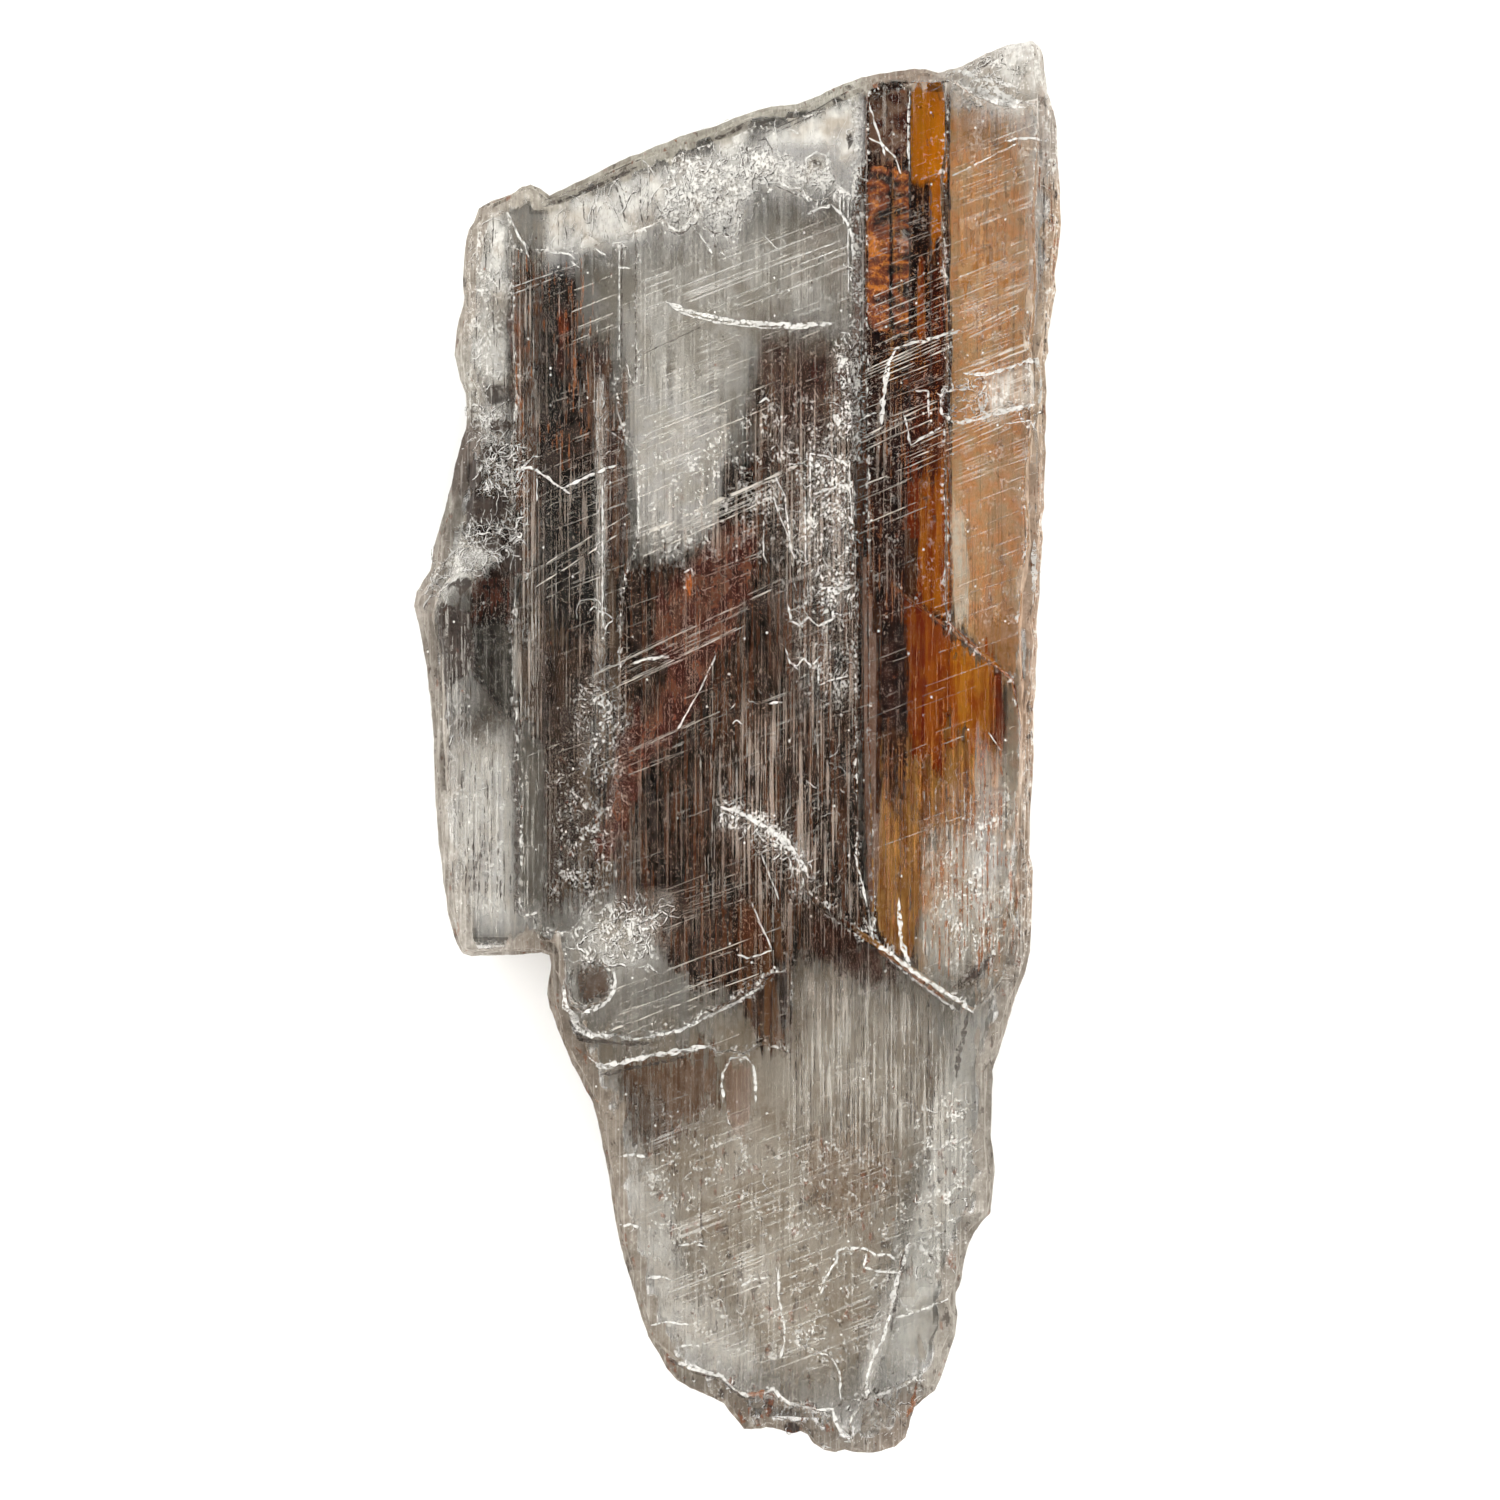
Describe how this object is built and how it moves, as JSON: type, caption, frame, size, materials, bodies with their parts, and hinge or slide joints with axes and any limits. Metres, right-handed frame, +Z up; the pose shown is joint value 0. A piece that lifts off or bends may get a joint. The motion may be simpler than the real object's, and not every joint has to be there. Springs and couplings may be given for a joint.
{
  "type": "selenite crystal",
  "caption": "Loose blade of clear gypsum lying on its flat back, with stepped front sheets, a ragged page-like rim and a tapering tongue.",
  "frame": {"origin": "under the middle of the blade's bounding box, on the flat cleavage face that it rests on", "axes": "+Y along the blade's fibres to its broad end, +X across the blade, +Z up through its sheets, away from the face that it rests on"},
  "size_m": [0.055, 0.12, 0.013],
  "materials": {
    "selenite": "clear gypsum, glassy on its cleavage faces and silky along its fibres, with brown clay and amber iron films inside"
  },
  "bodies": {
    "root": {"selenite_crystal": "selenite"}
  },
  "joints": []
}
